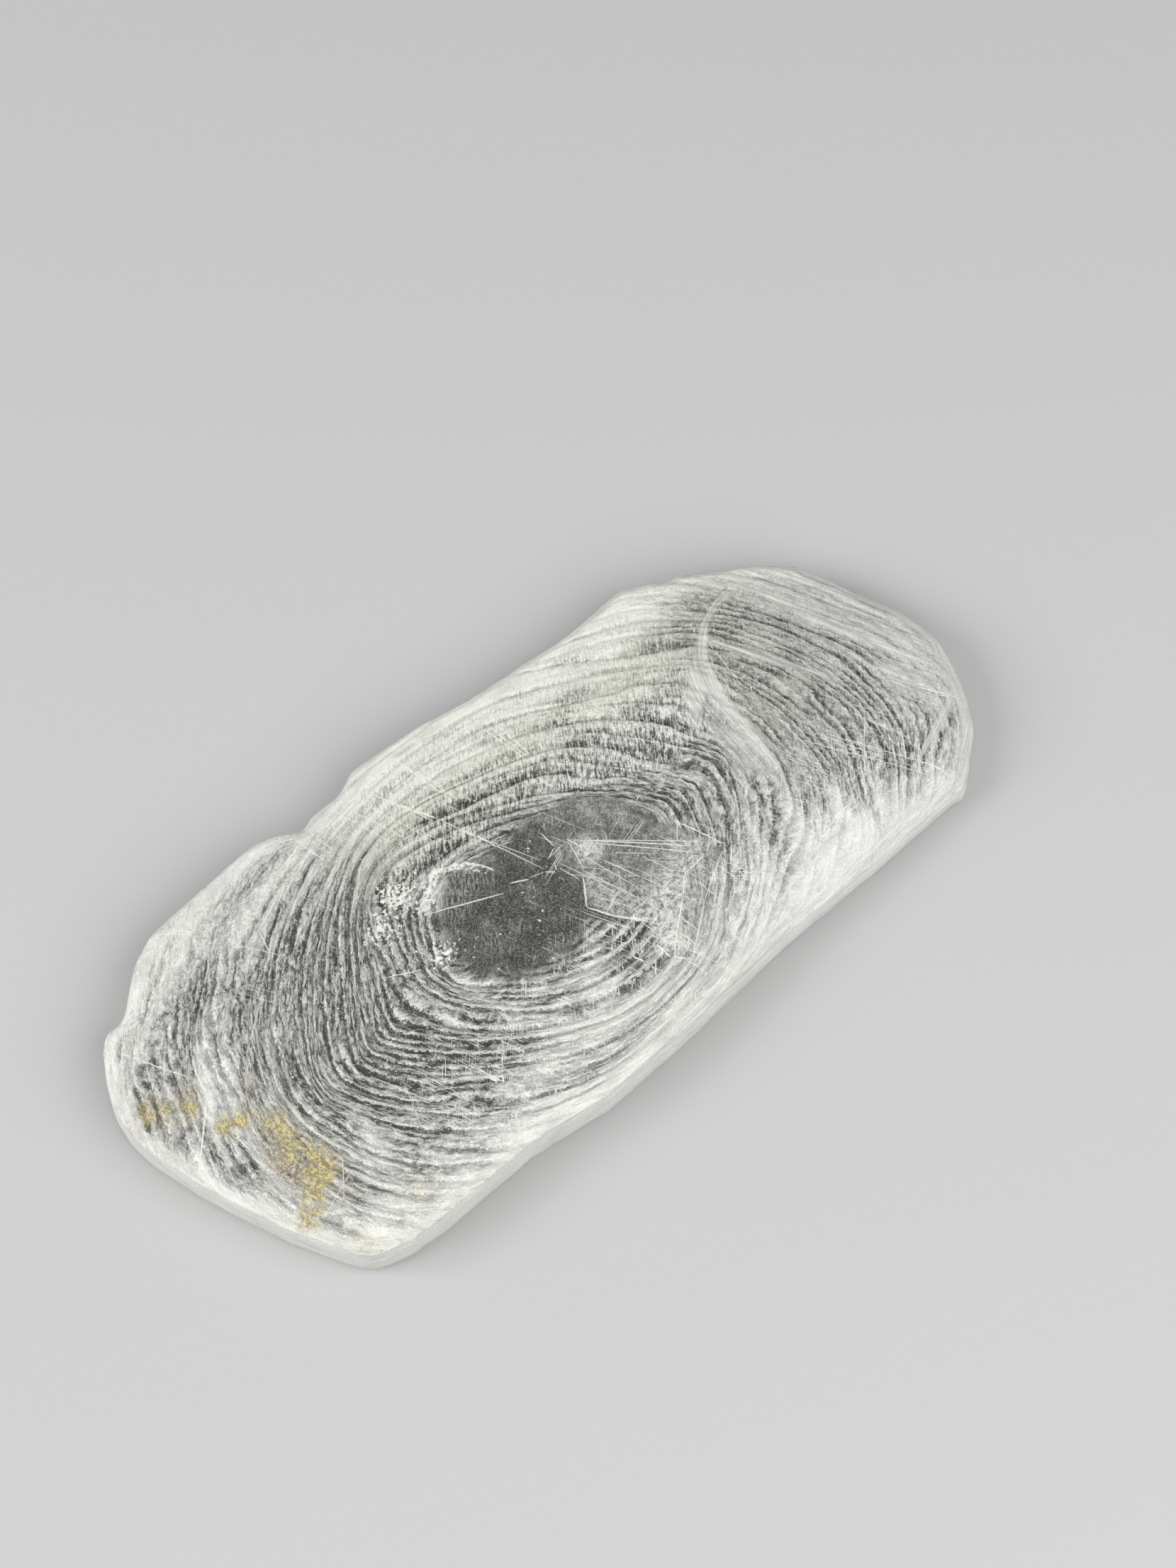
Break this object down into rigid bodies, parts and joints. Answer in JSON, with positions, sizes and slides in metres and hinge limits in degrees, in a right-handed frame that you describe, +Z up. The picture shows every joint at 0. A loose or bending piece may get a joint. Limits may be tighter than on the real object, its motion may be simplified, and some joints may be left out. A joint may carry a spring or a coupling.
{
  "type": "selenite cleavage slab",
  "caption": "Loose clear selenite slab, split flat, with ledges stepping down like contours from a clear middle to a frosted rim.",
  "frame": {"origin": "under the middle of the slab, on the surface it rests on", "axes": "+X along the slab's length towards the end with the worn bevel, +Y across it towards the long side with the notch, +Z up, square to the cleavage"},
  "size_m": [0.1096, 0.0494, 0.0094],
  "materials": {
    "selenite": "clear crystal with frosted ledges, rim and wall, pearly on the cleavage"
  },
  "bodies": {
    "root": {"selenite_slab": "selenite"}
  },
  "joints": []
}
